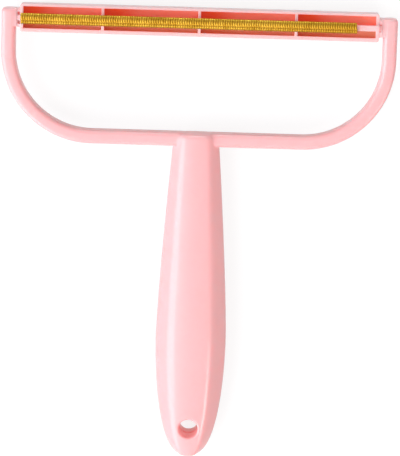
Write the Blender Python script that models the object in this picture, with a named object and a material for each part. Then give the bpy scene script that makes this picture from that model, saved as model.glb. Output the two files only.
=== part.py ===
# Double-sided lint remover: a hollow two-shell handle that opens into a D-shaped frame,
# with a trough-sided scraper bar held between the arms and a ribbed brass strip on each face.
#
# Units are metres and +Z is up. The tool lies flat: X runs across the frame, +Y from the
# handle's tip to the scraper bar, and the seam between the two shells is a level plane.
# The origin is under the middle of the whole tool.

import math

import bmesh
import bpy
from mathutils import Matrix, Vector

# Frame: two arms and the rail that joins them
FRAME_SPAN = 0.155  # over the outer faces of the arms
FRAME_WIDTH = 0.0055  # of arm and rail, seen from the front
FRAME_DEPTH = 0.0080
FRAME_CORNER_RADIUS = 0.0360  # outer edge
SHOULDER_WIDTH = 0.00125  # rounding of the frame's long edges, across the face
SHOULDER_DEPTH = 0.0020  # the same rounding, down the side
ARM_TIP_RADIUS = 0.0014
RAIL_TO_HEAD = 0.04635  # rail centreline to scraper bar axis
RAIL_TO_TIP = 0.1291  # rail centreline to the handle's end

# Handle
ROOT_WIDTH = 0.0180  # where it meets the rail
ROOT_THICKNESS = 0.0130
GRIP_WIDTH = 0.0282  # at its widest
GRIP_THICKNESS = 0.0185
WIDEST_TO_TIP = 0.0490
TAPER_POWER = 1.30  # how soon the handle widens below the rail
TIP_POWER = 1.95
TIP_BLUNTNESS = 2.85  # of the tip's outline, seen from the front
TIP_SIDE_BLUNTNESS = 6.5  # of the tip seen from the side
TIP_SWEEP = math.radians(87.8)  # how far round the tip's curve runs before its small end face
CROWN_END_RADIUS = 0.0020  # rounding where the handle ends on the rail
CROWN_END_INSET = 0.0003  # that end stands back from the rail's face
SHELL_WALL = 0.0020
SEAM = 0.0003  # gap between the shells

# The handle's six-sided section, as shares of its half-width and half-thickness
RIDGE_AT = 0.60
PANEL_DROP = 0.075  # how much lower the ridges lie than the panel's middle
EDGE_HEIGHT = 0.13
PANEL_FLAT_TO = 0.75  # share of the panel before the ridge's rounding starts
RIDGE_ROUND_TO = 0.30  # share of the flank that the ridge's rounding takes
EDGE_ROUND_FROM = 0.86  # share of the flank before the edge's rounding starts

# Inside the handle
RIB_THICKNESS = 0.0014
CROSS_RIBS = 5
PIN_DIAMETER = 0.0030
PIN_LENGTH = 0.0045
PIN_COUNT = 3
PIN_BOSS_DIAMETER = 0.0062
FRAME_PIN_DIAMETER = 0.0024
FRAME_PIN_LENGTH = 0.0022
FIT_GAP = 0.0003  # between pieces that seat in each other

# Hanging hole
HOLE_DIAMETER = 0.0076
HOLE_TO_TIP = 0.0125
HOLE_FLARE = 0.0009
HOLE_TUBE_WALL = 0.0018

# Scraper bar
NECK_LENGTH = 0.00185  # from the bar's end to the arm
HEAD_WIDTH = 0.0109
HEAD_DEPTH = 0.0076
HEAD_WALL = 0.00115
HEAD_END_WALL = 0.00125
HEAD_CORNER_RADIUS = 0.0011  # seen from the front
HEAD_EDGE_RADIUS = 0.0003  # round the rims
WEB_THICKNESS = 0.0016
SPINE_THICKNESS = 0.0021
SPINE_DEPTH = 0.0112
CROSS_WALL = 0.0011
CROSS_WALL_SPACING = 0.0378
TROUGH_DRAFT = 0.00015
NECK_WIDTH = 0.0074
NECK_DEPTH = 0.0068
NECK_CORNER_RADIUS = 0.0015
NECK_POCKET_LENGTH = 0.0010
NECK_POCKET_WIDTH = 0.0014
TENON_DEPTH = 0.0052
TENON_REACH = 0.0027  # how far a tenon enters its arm
ARM_GAP = 0.00035  # between the bar's neck and the arm

# Ribbed brass strip
STRIP_WIDTH = 0.0041
STRIP_CROWN = 0.0014  # above the edge of the spine
STRIP_SHOULDER = 0.0007  # the same at the strip's long edges
STRIP_LIP = 0.0007  # how far it reaches down each side of the spine
STRIP_SHORTFALL = 0.0086  # bare spine at the right end
RIB_PITCH = 0.00093
RIB_DEPTH = 0.00030
GROOVE_DEPTH = 0.00045
GROOVE_SHIFT = -0.00020  # the groove lies a little towards the handle
CREST_AT = 0.60  # place of each row's crest between the groove and the strip's edge
RIBS_PER_SIDE_FACE = 10

# How finely curves are drawn
CIRCLE_SEGMENTS = 32
PIN_SEGMENTS = 16
CORNER_STEPS = 14
SHOULDER_STEPS = 4
HEAD_CORNER_STEPS = 3
HANDLE_STEPS = 10
TIP_STEPS = 12
HOLLOW_STEPS = 6
SMOOTH_ANGLE = math.radians(32)

# Places worked out from the sizes above
TIP_Y = -(RAIL_TO_TIP + RAIL_TO_HEAD + HEAD_WIDTH / 2) / 2
RAIL_Y = TIP_Y + RAIL_TO_TIP
HEAD_Y = RAIL_Y + RAIL_TO_HEAD
WIDEST_Y = TIP_Y + WIDEST_TO_TIP
HOLE_Y = TIP_Y + HOLE_TO_TIP
ARM_X = (FRAME_SPAN - FRAME_WIDTH) / 2
ARM_INNER_X = FRAME_SPAN / 2 - FRAME_WIDTH
HEAD_LENGTH = 2 * (ARM_INNER_X - NECK_LENGTH)
ARM_TIP_Y = HEAD_Y + NECK_WIDTH / 2
RAIL_TOP_Y = RAIL_Y + FRAME_WIDTH / 2
RAIL_BOTTOM_Y = RAIL_Y - FRAME_WIDTH / 2
STRIP_HALF_DEPTH = SPINE_DEPTH / 2 + FIT_GAP + STRIP_CROWN
SEAM_Z = max(GRIP_THICKNESS / 2, STRIP_HALF_DEPTH)
REACH = FRAME_SPAN + RAIL_TO_TIP + RAIL_TO_HEAD  # longer than anything in the tool


# Small helpers


def clear_scene():
    for obj in list(bpy.data.objects):
        bpy.data.objects.remove(obj, do_unlink=True)


def make_material(name, colour, roughness, metallic=0.0):
    material = bpy.data.materials.new(name)
    material.use_nodes = True
    shader = material.node_tree.nodes["Principled BSDF"]
    shader.inputs["Base Color"].default_value = (*colour, 1.0)
    shader.inputs["Roughness"].default_value = roughness
    shader.inputs["Metallic"].default_value = metallic
    return material


def make_object(name, bm, parent, location=(0, 0, 0), material=None):
    """Turns a bmesh into an object, smooth apart from its sharp edges."""
    bmesh.ops.recalc_face_normals(bm, faces=bm.faces)
    mesh = bpy.data.meshes.new(name)
    bm.to_mesh(mesh)
    bm.free()
    mesh.shade_smooth()
    mesh.set_sharp_from_angle(angle=SMOOTH_ANGLE)
    obj = bpy.data.objects.new(name, mesh)
    bpy.context.scene.collection.objects.link(obj)
    obj.parent = parent
    obj.location = location
    if material:
        mesh.materials.append(material)
    return obj


def make_tool(name, bm, parent, location=(0, 0, 0)):
    """A shape that only cuts or adds to others, kept out of the model itself."""
    tool = make_object(name, bm, parent, location)
    tool.hide_render = True
    tool.display_type = "WIRE"
    return tool


def combine(obj, tool, operation):
    modifier = obj.modifiers.new(tool.name, "BOOLEAN")
    modifier.operation = operation
    modifier.solver = "EXACT"
    modifier.object = tool


def add_box(bm, low, high, draft=0.0):
    """A box between two corners. Draft narrows its end nearest to Z = 0."""
    x0, y0, z0 = low
    x1, y1, z1 = high
    near_low = draft if abs(z0) < abs(z1) else 0.0
    near_high = draft if abs(z1) < abs(z0) else 0.0
    rings = []
    for z, inset in ((z0, near_low), (z1, near_high)):
        corners = (
            (x0 + inset, y0 + inset),
            (x1 - inset, y0 + inset),
            (x1 - inset, y1 - inset),
            (x0 + inset, y1 - inset),
        )
        rings.append([bm.verts.new((x, y, z)) for x, y in corners])
    join_rings(bm, rings)


def add_cylinder(bm, radius, start, end, segments=CIRCLE_SEGMENTS):
    """A cylinder between two points."""
    start, end = Vector(start), Vector(end)
    along = end - start
    turn = along.to_track_quat("Z", "Y").to_matrix().to_4x4()
    bmesh.ops.create_cone(
        bm,
        cap_ends=True,
        segments=segments,
        radius1=radius,
        radius2=radius,
        depth=along.length,
        matrix=Matrix.Translation((start + end) / 2) @ turn,
    )


def join_rings(bm, rings):
    """Skins a row of equal rings and closes both ends."""
    for ring, following in zip(rings, rings[1:]):
        for i in range(len(ring)):
            j = (i + 1) % len(ring)
            bm.faces.new((ring[i], ring[j], following[j], following[i]))
    bm.faces.new(list(reversed(rings[0])))
    bm.faces.new(rings[-1])


def bend(start, corner, end, steps):
    """Points of a parabola that leaves start and reaches end, drawn towards the corner."""
    points = []
    for i in range(steps + 1):
        t = i / steps
        a, b, c = (1 - t) ** 2, 2 * t * (1 - t), t**2
        points.append(tuple(a * p + b * q + c * r for p, q, r in zip(start, corner, end)))
    return points


def between(start, end, share):
    return tuple(p + (q - p) * share for p, q in zip(start, end))


def mirror_quarter(quarter):
    """A closed outline from its part between +Z (first point) and +X (last point)."""
    right = quarter + [(x, -z) for x, z in reversed(quarter[:-1])]
    left = [(-x, z) for x, z in reversed(right[1:-1])]
    return right + left


def spaced(start, end, count):
    return [start + (end - start) * i / count for i in range(count + 1)]


# Handle


def handle_half(y, root, widest, bluntness):
    """Half-width or half-thickness of the handle at a place along it."""
    if y >= WIDEST_Y:
        rise = (y - WIDEST_Y) / (RAIL_Y - WIDEST_Y)
        return (widest - (widest - root) * rise**TAPER_POWER) / 2
    fall = (WIDEST_Y - y) / (WIDEST_Y - TIP_Y)
    return widest / 2 * (1 - fall**TIP_POWER) ** (1 / bluntness)


def handle_halves(y, inset=0.0):
    """Half-width and half-thickness at a place along the handle."""
    half_width = handle_half(y, ROOT_WIDTH, GRIP_WIDTH, TIP_BLUNTNESS)
    half_depth = handle_half(y, ROOT_THICKNESS, GRIP_THICKNESS, TIP_SIDE_BLUNTNESS)
    return half_width - inset, half_depth - inset


def panel_height(x, y, inset=0.0):
    """Height of the crowned front panel over the seam plane."""
    half_width, half_depth = handle_halves(y, inset)
    return half_depth * (1 - PANEL_DROP * (x / (RIDGE_AT * half_width)) ** 2)


def handle_section(y, inset=0.0):
    """The six-sided outline of the handle: a crowned panel, soft ridges and sloping flanks."""
    half_width, half_depth = handle_halves(y, inset)
    ridge_x = RIDGE_AT * half_width
    panel = []
    for x in spaced(0.0, PANEL_FLAT_TO * ridge_x, 2):
        panel.append((x, panel_height(x, y, inset)))
    ridge = (ridge_x, panel_height(ridge_x, y, inset))
    edge = (half_width, EDGE_HEIGHT * half_depth)
    shoulder = bend(panel[-1], ridge, between(ridge, edge, RIDGE_ROUND_TO), 4)
    hem = bend(between(ridge, edge, EDGE_ROUND_FROM), edge, (half_width, 0.0), 2)
    return mirror_quarter(panel[:-1] + shoulder + hem)


def loft_handle(stations):
    """A closed body through the sections at (y, inset) stations."""
    bm = bmesh.new()
    rings = []
    for y, inset in stations:
        rings.append([bm.verts.new((x, y, z)) for x, z in handle_section(y, inset)])
    join_rings(bm, rings)
    return bm


def handle_body():
    """The handle's outer shape, rounded off where it ends on the rail."""
    straight_end = RAIL_TOP_Y - CROWN_END_INSET - CROWN_END_RADIUS
    stations = []
    for angle in (0, 30, 60):
        turn = math.radians(angle)
        y = straight_end + CROWN_END_RADIUS * math.cos(turn)
        stations.append((y, CROWN_END_RADIUS * (1 - math.sin(turn))))
    stations += [(y, 0.0) for y in spaced(straight_end, WIDEST_Y, HANDLE_STEPS)]
    for turn in spaced(0.0, TIP_SWEEP, TIP_STEPS)[1:]:
        stations.append((WIDEST_Y - WIDEST_TO_TIP * math.sin(turn), 0.0))
    return loft_handle(stations)


def pin_places():
    """Centres of the pins that line the two shells up."""
    top = RAIL_BOTTOM_Y - PIN_BOSS_DIAMETER
    bottom = HOLE_Y + HOLE_DIAMETER / 2 + HOLE_TUBE_WALL + PIN_BOSS_DIAMETER
    return [(0.0, y) for y in spaced(top, bottom, PIN_COUNT - 1)]


def frame_pin_places():
    """Centres of the small pins in the rail and the arms."""
    rail_x = ARM_X - FRAME_CORNER_RADIUS
    arm_y = RAIL_Y + FRAME_CORNER_RADIUS
    return [(side * rail_x, RAIL_Y) for side in (-1, 1)] + [(side * ARM_X, arm_y) for side in (-1, 1)]


def cavity_tool(parent):
    """The hollow of the handle, less its ribs, its pin bosses and the tube round the hole."""
    top = RAIL_BOTTOM_Y - SHELL_WALL / 2
    bottom = TIP_Y + 2 * SHELL_WALL
    stations = [(y, SHELL_WALL) for y in spaced(top, WIDEST_Y, HOLLOW_STEPS)]
    stations += [(y, SHELL_WALL) for y in spaced(WIDEST_Y, bottom, HOLLOW_STEPS)[1:]]
    cavity = make_tool("handle_cavity", loft_handle(stations), parent)

    kept = bmesh.new()
    tube_radius = HOLE_DIAMETER / 2 + HOLE_TUBE_WALL
    rib_end = HOLE_Y + tube_radius - SHELL_WALL / 2
    half_rib = RIB_THICKNESS / 2
    add_box(kept, (-half_rib, rib_end, -GRIP_THICKNESS), (half_rib, RAIL_Y, GRIP_THICKNESS))
    ribs = make_tool("handle_long_rib", kept, parent)
    combine(cavity, ribs, "DIFFERENCE")

    across = bmesh.new()
    for y in spaced(top, rib_end, CROSS_RIBS + 1)[1:-1]:
        add_box(
            across,
            (-GRIP_WIDTH, y - half_rib, -GRIP_THICKNESS),
            (GRIP_WIDTH, y + half_rib, GRIP_THICKNESS),
        )
    cross = make_tool("handle_cross_ribs", across, parent)
    combine(cavity, cross, "DIFFERENCE")

    posts = bmesh.new()
    for x, y in pin_places():
        add_cylinder(
            posts,
            PIN_BOSS_DIAMETER / 2,
            (x, y, -GRIP_THICKNESS),
            (x, y, GRIP_THICKNESS),
            PIN_SEGMENTS,
        )
    add_cylinder(posts, tube_radius, (0, HOLE_Y, -GRIP_THICKNESS), (0, HOLE_Y, GRIP_THICKNESS))
    bosses = make_tool("handle_bosses", posts, parent)
    combine(cavity, bosses, "DIFFERENCE")
    return cavity


def hole_tool(parent):
    """The hanging hole. Its rounded rims follow the panels, front and rear."""
    radius = HOLE_DIAMETER / 2
    rim = []
    for angle in (0, 30, 60, 90):
        turn = math.radians(angle)
        widening = HOLE_FLARE * (1 - math.cos(turn))
        rim.append((radius + widening, HOLE_FLARE * (1 - math.sin(turn))))
    rim.append((radius + HOLE_FLARE, -GRIP_THICKNESS))
    profile = [(r, depth, -1) for r, depth in reversed(rim)] + [(r, depth, 1) for r, depth in rim]
    bm = bmesh.new()
    rings = []
    for ring_radius, depth, face in profile:
        ring = []
        for i in range(CIRCLE_SEGMENTS):
            angle = 2 * math.pi * i / CIRCLE_SEGMENTS
            x = ring_radius * math.cos(angle)
            y = HOLE_Y + ring_radius * math.sin(angle)
            ring.append(bm.verts.new((x, y, face * (panel_height(x, y) - depth))))
        rings.append(ring)
    join_rings(bm, rings)
    return make_tool("hanging_hole", bm, parent)


# Frame


def frame_section(inset=0.0):
    """Outline of arm and rail: flat faces with broad rounded shoulders."""
    half_width = FRAME_WIDTH / 2
    half_depth = FRAME_DEPTH / 2
    quarter = []
    for turn in spaced(math.radians(90), 0.0, SHOULDER_STEPS):
        x = half_width - SHOULDER_WIDTH + SHOULDER_WIDTH * math.cos(turn) - inset
        z = half_depth - SHOULDER_DEPTH + SHOULDER_DEPTH * math.sin(turn) - inset
        quarter.append((x, z))
    right = quarter + [(x, -z) for x, z in reversed(quarter)]
    return right + [(-x, -z) for x, z in right]


def frame_stations():
    """(x, y, heading, inset) along the right half of the frame, from mid-rail to arm tip."""
    radius = FRAME_CORNER_RADIUS - FRAME_WIDTH / 2
    corner_x = ARM_X - radius
    corner_y = RAIL_Y + radius
    stations = []
    for turn in spaced(0.0, math.radians(90), CORNER_STEPS):
        x = corner_x + radius * math.sin(turn)
        y = corner_y - radius * math.cos(turn)
        stations.append((x, y, turn, 0.0))
    for angle in (0, 30, 60, 90):
        turn = math.radians(angle)
        y = ARM_TIP_Y - ARM_TIP_RADIUS * (1 - math.sin(turn))
        stations.append((ARM_X, y, math.radians(90), ARM_TIP_RADIUS * (1 - math.cos(turn))))
    return stations


def frame_body():
    """The D: one section carried along both arms, both corners and the rail."""
    right = frame_stations()
    left = [(-x, y, -heading, inset) for x, y, heading, inset in reversed(right)]
    bm = bmesh.new()
    rings = []
    for x, y, heading, inset in left + right:
        outward = Vector((math.sin(heading), -math.cos(heading), 0))
        ring = []
        for across, up in frame_section(inset):
            ring.append(bm.verts.new(Vector((x, y, up)) + outward * across))
        rings.append(ring)
    join_rings(bm, rings)
    return bm


def tenon_pockets(parent):
    """Blind pockets in the arms for the scraper bar's tenons."""
    bm = bmesh.new()
    half_thickness = SPINE_THICKNESS / 2 + FIT_GAP
    half_depth = TENON_DEPTH / 2 + FIT_GAP
    depth = ARM_INNER_X + TENON_REACH + FIT_GAP
    for side in (-1, 1):
        ends = sorted((side * (ARM_INNER_X - FRAME_WIDTH), side * depth))
        add_box(
            bm,
            (ends[0], HEAD_Y - half_thickness, -half_depth),
            (ends[1], HEAD_Y + half_thickness, half_depth),
        )
    return make_tool("tenon_pockets", bm, parent)


def pin_tool(name, gap, parent):
    """All the lining-up pins, or their sockets when a gap is given."""
    bm = bmesh.new()
    sets = (
        (pin_places(), PIN_DIAMETER, PIN_LENGTH),
        (frame_pin_places(), FRAME_PIN_DIAMETER, FRAME_PIN_LENGTH),
    )
    for places, diameter, length in sets:
        for x, y in places:
            low = -(SEAM / 2 + length + gap)
            high = SEAM if gap else SEAM / 2 + length / 2
            add_cylinder(bm, diameter / 2 + gap, (x, y, low), (x, y, high), PIN_SEGMENTS)
    return make_tool(name, bm, parent)


def half_space(name, side, parent):
    """Everything on the far side of the seam from a shell."""
    bm = bmesh.new()
    if side > 0:
        add_box(bm, (-REACH, -REACH, -REACH), (REACH, REACH, SEAM / 2))
    else:
        add_box(bm, (-REACH, -REACH, -SEAM / 2), (REACH, REACH, REACH))
    return make_tool(name, bm, parent)


def build_shells(root, material_front, material_rear):
    """The two mouldings that meet at the seam. Only the pins and their sockets differ."""
    handle = make_tool("handle_outside", handle_body(), root)
    cavity = cavity_tool(root)
    hole = hole_tool(root)
    pockets = tenon_pockets(root)
    shells = []
    for name, side, material in (
        ("front_shell", 1, material_front),
        ("rear_shell", -1, material_rear),
    ):
        shell = make_object(name, frame_body(), root, material=material)
        combine(shell, handle, "UNION")
        combine(shell, half_space(name + "_other_side", side, root), "DIFFERENCE")
        combine(shell, cavity, "DIFFERENCE")
        combine(shell, hole, "DIFFERENCE")
        combine(shell, pockets, "DIFFERENCE")
        shells.append(shell)
    combine(shells[0], pin_tool("pins", 0.0, root), "UNION")
    combine(shells[1], pin_tool("pin_sockets", FIT_GAP, root), "DIFFERENCE")
    return shells


# Scraper bar


def rounded_rectangle(length, width, corner_radius, inset=0.0):
    radius = corner_radius - inset
    corner = Vector((length / 2 - corner_radius, width / 2 - corner_radius))
    points = []
    for quarter, signs in enumerate(((1, 1), (-1, 1), (-1, -1), (1, -1))):
        centre = corner * Vector(signs)
        start = math.radians(90 * quarter)
        for turn in spaced(start, start + math.radians(90), HEAD_CORNER_STEPS):
            points.append(centre + radius * Vector((math.cos(turn), math.sin(turn))))
    return points


def bar_block():
    """The bar's plain block, with rounded corners and softened rims."""
    bm = bmesh.new()
    rings = []
    for side in (-1, 1):
        for angle in (90, 45, 0)[::-side]:
            turn = math.radians(angle)
            inset = HEAD_EDGE_RADIUS * (1 - math.cos(turn))
            z = side * (HEAD_DEPTH / 2 - HEAD_EDGE_RADIUS * (1 - math.sin(turn)))
            outline = rounded_rectangle(HEAD_LENGTH, HEAD_WIDTH, HEAD_CORNER_RADIUS, inset)
            rings.append([bm.verts.new((x, y, z)) for x, y in outline])
    join_rings(bm, rings)
    return bm


def trough_tool(parent):
    """The compartments on both sides of the spine, front and rear."""
    bm = bmesh.new()
    end = HEAD_LENGTH / 2 - HEAD_END_WALL
    walls = [-CROSS_WALL_SPACING, 0.0, CROSS_WALL_SPACING]
    starts = [-end] + [x + CROSS_WALL / 2 for x in walls]
    stops = [x - CROSS_WALL / 2 for x in walls] + [end]
    inner_y = SPINE_THICKNESS / 2
    outer_y = HEAD_WIDTH / 2 - HEAD_WALL
    floor = WEB_THICKNESS / 2
    for x0, x1 in zip(starts, stops):
        for side in (-1, 1):
            y0, y1 = sorted((side * inner_y, side * outer_y))
            for face in (-1, 1):
                z0, z1 = sorted((face * floor, face * HEAD_DEPTH))
                add_box(bm, (x0, y0, z0), (x1, y1, z1), TROUGH_DRAFT)
    return make_tool("troughs", bm, parent, (0, HEAD_Y, 0))


def spine_tool(parent):
    """The central fin, proud of the rims, that carries the strips."""
    bm = bmesh.new()
    half_length = HEAD_LENGTH / 2 - HEAD_END_WALL / 3
    half = Vector((half_length, SPINE_THICKNESS / 2, SPINE_DEPTH / 2))
    add_box(bm, -half, half)
    return make_tool("spine", bm, parent, (0, HEAD_Y, 0))


def neck_tool(parent):
    """A flat neck with rounded edges at each end of the bar."""
    bm = bmesh.new()
    outline = rounded_rectangle(NECK_WIDTH, NECK_DEPTH, NECK_CORNER_RADIUS)
    for side in (-1, 1):
        ends = (side * (HEAD_LENGTH / 2 - HEAD_END_WALL / 2), side * (ARM_INNER_X - ARM_GAP))
        join_rings(bm, [[bm.verts.new((x, y, z)) for y, z in outline] for x in ends])
    return make_tool("necks", bm, parent, (0, HEAD_Y, 0))


def tenon_tool(parent):
    """A flat tenon beyond each neck, which an arm holds without letting the bar turn."""
    bm = bmesh.new()
    for side in (-1, 1):
        ends = sorted((side * HEAD_LENGTH / 2, side * (ARM_INNER_X + TENON_REACH)))
        add_box(
            bm,
            (ends[0], -SPINE_THICKNESS / 2, -TENON_DEPTH / 2),
            (ends[1], SPINE_THICKNESS / 2, TENON_DEPTH / 2),
        )
    return make_tool("tenons", bm, parent, (0, HEAD_Y, 0))


def neck_pocket_tool(parent):
    """Small cored pockets beside the fin, where each neck faces its arm."""
    bm = bmesh.new()
    neck_end = ARM_INNER_X - ARM_GAP
    for side in (-1, 1):
        x0, x1 = sorted((side * (neck_end - NECK_POCKET_LENGTH), side * (neck_end + NECK_POCKET_LENGTH)))
        for beside in (-1, 1):
            near = beside * SPINE_THICKNESS / 2
            y0, y1 = sorted((near, near + beside * NECK_POCKET_WIDTH))
            for face in (-1, 1):
                z0, z1 = sorted((face * WEB_THICKNESS / 2, face * NECK_DEPTH))
                add_box(bm, (x0, y0, z0), (x1, y1, z1))
    return make_tool("neck_pockets", bm, parent, (0, HEAD_Y, 0))


def build_scraper_bar(root, material):
    bar = make_object("scraper_bar", bar_block(), root, (0, HEAD_Y, 0), material)
    combine(bar, neck_tool(root), "UNION")
    combine(bar, trough_tool(root), "DIFFERENCE")
    combine(bar, spine_tool(root), "UNION")
    combine(bar, neck_pocket_tool(root), "DIFFERENCE")
    combine(bar, tenon_tool(root), "UNION")
    return bar


# Ribbed brass strip: the feature that takes the most skill


def strip_stations():
    """Places along the strip of its rib crests and valleys, with their rise from 0 to 1."""
    length = HEAD_LENGTH - STRIP_SHORTFALL
    ribs = max(1, round(length / RIB_PITCH))
    step = length / ribs / 2
    return [(-HEAD_LENGTH / 2 + step * i, i % 2) for i in range(2 * ribs + 1)]


def strip_profile(crest):
    """(y, z, sideways step) of the ribbed face from one long edge to the other.

    Each rib steps sideways by a quarter of the pitch as it crosses the groove.
    """
    half = STRIP_WIDTH / 2
    sink = 0.0 if crest else RIB_DEPTH
    step = RIB_PITCH / 4
    up_crest = GROOVE_SHIFT + (half - GROOVE_SHIFT) * (1 - CREST_AT)
    low_crest = GROOVE_SHIFT - (half + GROOVE_SHIFT) * (1 - CREST_AT)
    return [
        (half, STRIP_SHOULDER - sink, 0.0),
        (up_crest, STRIP_CROWN - sink, 0.0),
        (GROOVE_SHIFT, STRIP_CROWN - GROOVE_DEPTH, step / 2),
        (low_crest, STRIP_CROWN - sink, step),
        (-half, STRIP_SHOULDER - sink, step),
    ]


def strip_body():
    """A channel that caps the spine's edge. Its outer face has two rows of ribs."""
    bm = bmesh.new()
    stations = strip_stations()
    columns = []
    for number, (x, crest) in enumerate(stations):
        at_end = number in (0, len(stations) - 1)
        column = []
        for y, z, step in strip_profile(crest):
            column.append(bm.verts.new((x + (0.0 if at_end else step), y, z)))
        columns.append(column)
    for column, following in zip(columns, columns[1:]):
        for i in range(len(column) - 1):
            bm.faces.new((column[i], following[i], following[i + 1], column[i + 1]))

    # Underside: two lips beside the spine and the seat between them
    lip = -(FIT_GAP + STRIP_LIP)
    inner = SPINE_THICKNESS / 2 + FIT_GAP
    half = STRIP_WIDTH / 2
    under = [(half, lip), (inner, lip), (inner, 0.0), (-inner, 0.0), (-inner, lip), (-half, lip)]
    marks = list(range(0, len(stations) - 1, 2 * RIBS_PER_SIDE_FACE)) + [len(stations) - 1]
    rings = []
    for mark in marks:
        x = stations[mark][0]
        rings.append([bm.verts.new((x, y, z)) for y, z in under])
    for ring, following in zip(rings, rings[1:]):
        for i in range(len(ring) - 1):
            bm.faces.new((ring[i], ring[i + 1], following[i + 1], following[i]))

    # Long sides, in pieces of a few ribs each
    for start, stop, ring, following in zip(marks, marks[1:], rings, rings[1:]):
        upper = [column[0] for column in columns[start : stop + 1]]
        lower = [column[-1] for column in columns[start : stop + 1]]
        bm.faces.new([ring[0], following[0]] + list(reversed(upper)))
        bm.faces.new([following[-1], ring[-1]] + lower)

    # Ends
    for column, ring in ((columns[0], rings[0]), (columns[-1], rings[-1])):
        bm.faces.new(column + list(reversed(ring)))
    return bm


def build_strips(root, material_front, material_rear):
    """One strip on each edge of the spine."""
    seat = SPINE_DEPTH / 2 + FIT_GAP
    front = make_object(
        "front_brass_strip", strip_body(), root, (0, HEAD_Y, seat), material_front
    )
    rear = make_object(
        "rear_brass_strip", strip_body(), root, (0, HEAD_Y, -seat), material_rear
    )
    rear.rotation_euler = (math.pi, 0, 0)
    return front, rear


def main():
    clear_scene()
    root = bpy.data.objects.new("lint_remover", None)
    bpy.context.scene.collection.objects.link(root)
    root.location = (0, 0, SEAM_Z)

    pink = (0.93, 0.53, 0.55)
    brass = (0.70, 0.45, 0.12)
    build_shells(
        root,
        make_material("front_shell_pink", pink, 0.18),
        make_material("rear_shell_pink", pink, 0.18),
    )
    build_scraper_bar(root, make_material("scraper_bar_pink", pink, 0.22))
    build_strips(
        root,
        make_material("front_strip_brass", brass, 0.32, 1.0),
        make_material("rear_strip_brass", brass, 0.32, 1.0),
    )


main()
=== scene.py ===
# %% [markdown]
# A double-sided lint remover, piece by piece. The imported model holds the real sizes: two pink
# half shells, a pink scraper bar and two brass strips. This lesson dresses each of them with
# a finer mesh and a finish of its own, and never moves or resizes what it finds. It starts by
# loading that frame and reading the places that everything else hangs on.

# %% Load the fixed frame
import itertools
import math

import bmesh
import bpy
from mathutils import Matrix, Vector
from mathutils.kdtree import KDTree


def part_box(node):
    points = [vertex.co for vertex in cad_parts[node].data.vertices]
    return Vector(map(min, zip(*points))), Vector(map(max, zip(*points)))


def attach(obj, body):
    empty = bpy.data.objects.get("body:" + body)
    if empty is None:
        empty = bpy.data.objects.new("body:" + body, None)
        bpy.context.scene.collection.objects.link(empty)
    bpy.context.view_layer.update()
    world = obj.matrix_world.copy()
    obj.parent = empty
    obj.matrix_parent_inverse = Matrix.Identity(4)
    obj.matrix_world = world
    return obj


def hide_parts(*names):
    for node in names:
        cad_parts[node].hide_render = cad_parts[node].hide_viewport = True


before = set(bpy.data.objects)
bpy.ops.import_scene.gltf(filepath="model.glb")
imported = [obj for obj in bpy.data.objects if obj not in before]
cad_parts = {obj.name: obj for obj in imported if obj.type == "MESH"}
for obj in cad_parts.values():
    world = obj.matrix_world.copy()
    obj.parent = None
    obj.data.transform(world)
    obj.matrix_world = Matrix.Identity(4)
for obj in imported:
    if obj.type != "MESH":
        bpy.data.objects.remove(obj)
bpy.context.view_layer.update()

MM = 0.001

front_low, front_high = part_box("front_shell")
rear_low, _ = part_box("rear_shell")
bar_low, bar_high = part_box("scraper_bar")
strip_low, strip_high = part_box("front_brass_strip")

seam_z = (rear_low.z + front_high.z) / 2
arm_outer_x = front_high.x
tip_y = front_low.y
arm_tip_y = front_high.y
head_y = (bar_low.y + bar_high.y) / 2
print("seam height, mm:", round(seam_z / MM, 2))

# %% [markdown]
# Sizes come before shapes. The outline of each moulding is the one in the model, so the
# formulas below repeat its sizes in metres. What lies between two pieces, such as the length
# of the bar, is worked out from the frame.

# %% Sizes of the mouldings
FRAME_WIDTH = 5.5 * MM
FRAME_DEPTH = 8.0 * MM
FRAME_CORNER_RADIUS = 36.0 * MM
SHOULDER_WIDTH = 1.7 * MM
SHOULDER_DEPTH = 2.0 * MM
ARM_TIP_RADIUS = 1.4 * MM
RAIL_TO_TIP = 129.1 * MM
ROOT_WIDTH = 18.0 * MM
ROOT_THICKNESS = 13.0 * MM
GRIP_WIDTH = 28.2 * MM
GRIP_THICKNESS = front_high.z - rear_low.z
WIDEST_TO_TIP = 49.0 * MM
TAPER_POWER = 1.30
TIP_POWER = 1.95
TIP_BLUNTNESS = 2.85
TIP_SIDE_BLUNTNESS = 6.5
CROWN_END_RADIUS = 2.0 * MM
CROWN_END_INSET = 0.3 * MM
RIDGE_AT = 0.60
PANEL_DROP = 0.075
EDGE_HEIGHT = 0.13
PANEL_FLAT_TO = 0.75
RIDGE_ROUND_TO = 0.30
EDGE_ROUND_FROM = 0.86
SEAM = 0.3 * MM
HOLE_DIAMETER = 7.6 * MM
HOLE_TO_TIP = 12.5 * MM
HOLE_FLARE = 0.9 * MM

rail_y = tip_y + RAIL_TO_TIP
widest_y = tip_y + WIDEST_TO_TIP
hole_y = tip_y + HOLE_TO_TIP
arm_x = arm_outer_x - FRAME_WIDTH / 2
arm_inner_x = arm_outer_x - FRAME_WIDTH
print("rail at y, mm:", round(rail_y / MM, 2))

# %% [markdown]
# The photograph looks almost straight down on the tool, from about a metre away, a little
# from the bar's side and turned a little clockwise. Those angles came from the picture: how
# the handle shrinks, and how much of the hanging hole's wall shows. The camera is written
# as a matrix, so the order in which the three turns are made is plain.

# %% The camera at the photograph's angle
PHOTO_WIDTH = 400
PHOTO_HEIGHT = 456
FOCAL_PIXELS = 2513.0
CAMERA_DISTANCE = 1.0
CAMERA_TILT = math.radians(11.0)
CAMERA_YAW = math.radians(-0.65)
CAMERA_ROLL = math.radians(1.64)
CAMERA_AIM = Vector((2.46 * MM, 2.84 * MM, seam_z))
SENSOR = 36.0


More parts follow.
